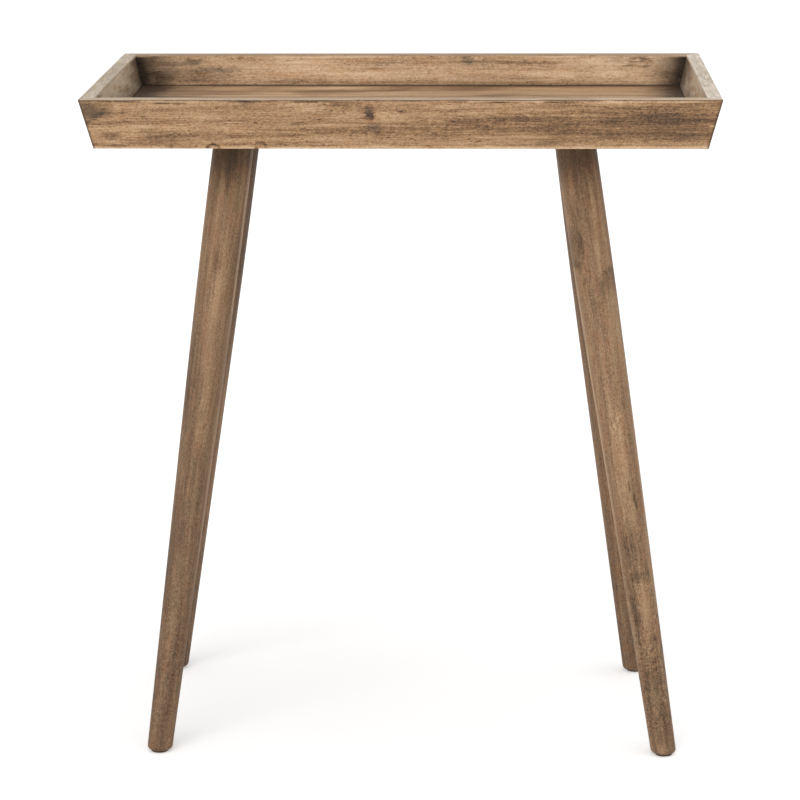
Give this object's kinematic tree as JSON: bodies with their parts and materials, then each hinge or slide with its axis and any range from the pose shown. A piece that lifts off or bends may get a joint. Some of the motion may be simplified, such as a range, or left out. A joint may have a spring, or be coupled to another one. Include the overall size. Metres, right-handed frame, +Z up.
{
  "type": "accent table",
  "caption": "Accent table with a shallow, flared tray top with mitred corners on splayed, tapered round legs, in weathered brown wood.",
  "frame": {"origin": "on the floor, below the middle of the tray", "axes": "+Z up, +X to the right along the tray's long side, the front looks towards -Y"},
  "size_m": [0.6794, 0.3994, 0.746],
  "materials": {
    "tray_wood": "weathered brown stain with dark pores, knots and greyed rim, matt",
    "floor_panel": "weathered brown stain, smooth, matt",
    "leg_wood": "darker weathered brown stain with grain along the leg, matt",
    "cleat_wood": "unfinished, sawn",
    "leg_plate_steel": "zinc plated",
    "steel_fasteners": "zinc plated",
    "glide_plastic": "brown moulded nylon"
  },
  "bodies": {
    "root": {"tray_front_board": "tray_wood", "tray_back_board": "tray_wood", "tray_left_end": "tray_wood", "tray_right_end": "tray_wood", "tray_floor": "floor_panel", "corner_brads": "steel_fasteners", "left_cleat": "cleat_wood", "right_cleat": "cleat_wood", "cleat_screws": "steel_fasteners", "leg_plate_front_left": "leg_plate_steel", "leg_plate_front_right": "leg_plate_steel", "leg_plate_back_left": "leg_plate_steel", "leg_plate_back_right": "leg_plate_steel", "plate_screws": "steel_fasteners", "hanger_bolts": "steel_fasteners", "leg_front_left": "leg_wood", "leg_front_right": "leg_wood", "leg_back_left": "leg_wood", "leg_back_right": "leg_wood", "glide_front_left": "glide_plastic", "glide_front_right": "glide_plastic", "glide_back_left": "glide_plastic", "glide_back_right": "glide_plastic"}
  },
  "joints": []
}
